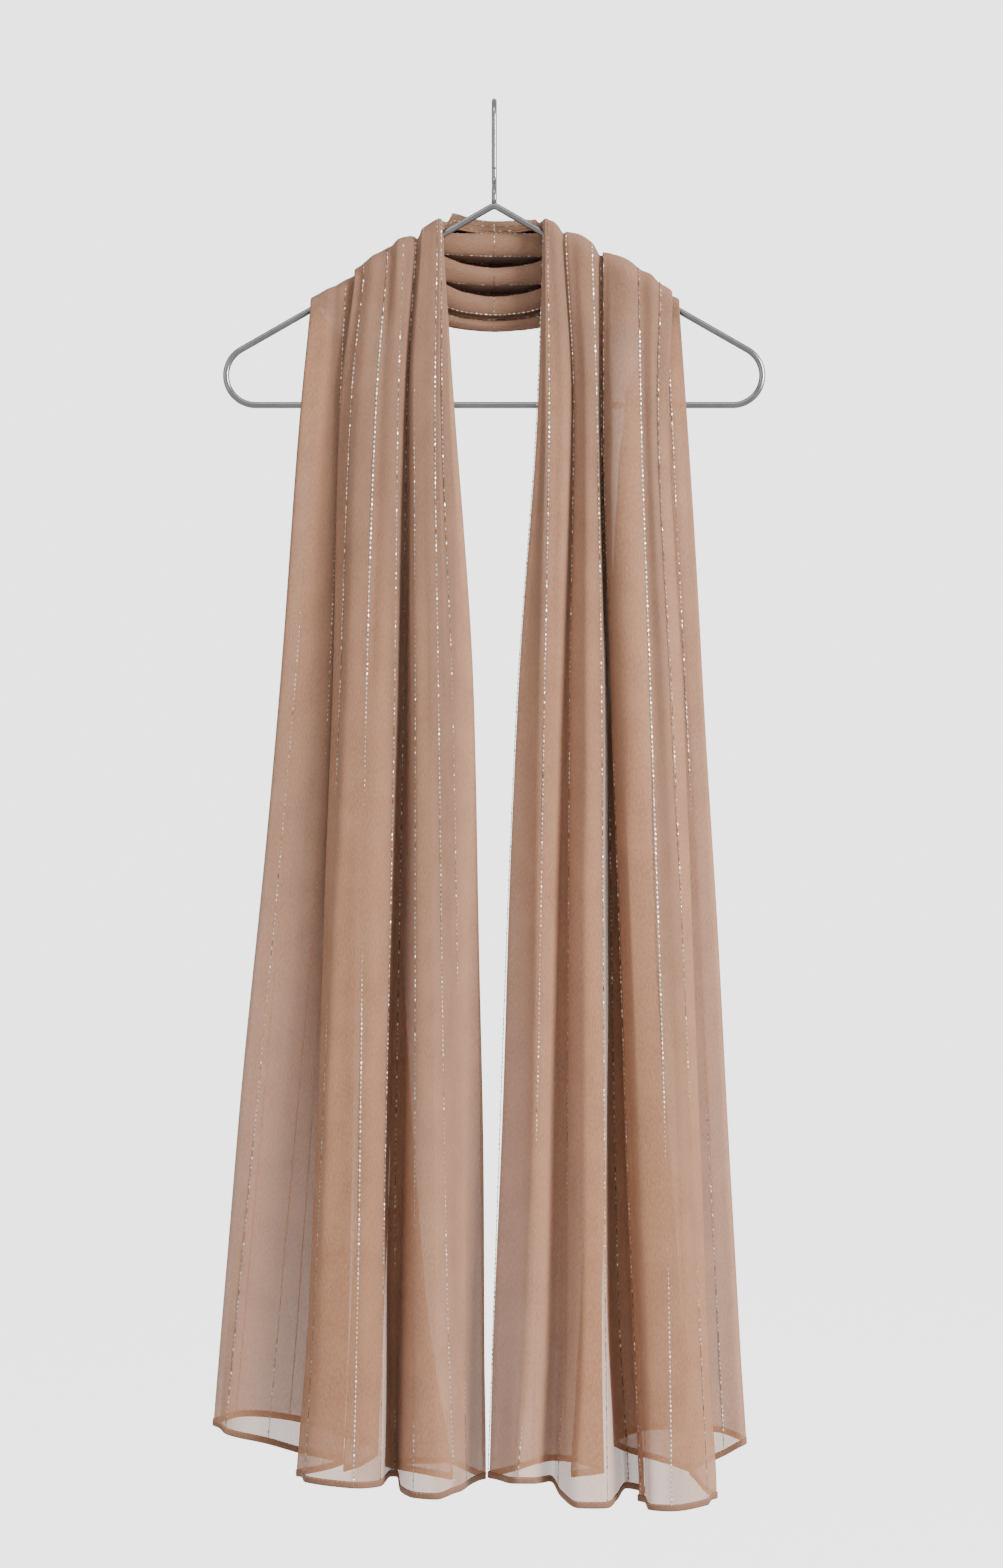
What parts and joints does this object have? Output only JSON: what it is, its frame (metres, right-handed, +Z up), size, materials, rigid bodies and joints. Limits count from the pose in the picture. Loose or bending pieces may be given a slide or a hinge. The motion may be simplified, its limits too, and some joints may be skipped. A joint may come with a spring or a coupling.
{
  "type": "georgette scarf on a wire hanger",
  "caption": "Long sheer scarf hung as round a neck on a bent-wire hanger: cowl folds behind the wires, two fluted falls in front of the bar.",
  "frame": {"origin": "where the underside of the hook's top bears on its rail", "axes": "+X along the hanger's bar to the right as seen from the front, +Y to the back, +Z up"},
  "size_m": [0.4168, 0.0881, 1.0509],
  "materials": {
    "bright_steel": "bright, slightly satin wire",
    "georgette": "sheer matte crepe weave with lengthwise metallic threads",
    "hem_cloth": "three layers of the same cloth, stitched"
  },
  "bodies": {
    "root": {"hanger_frame": "bright_steel", "hanger_hook": "bright_steel", "scarf_neck": "georgette", "scarf_left_fall": "georgette", "scarf_right_fall": "georgette", "hem_left": "hem_cloth", "hem_right": "hem_cloth"}
  },
  "joints": []
}
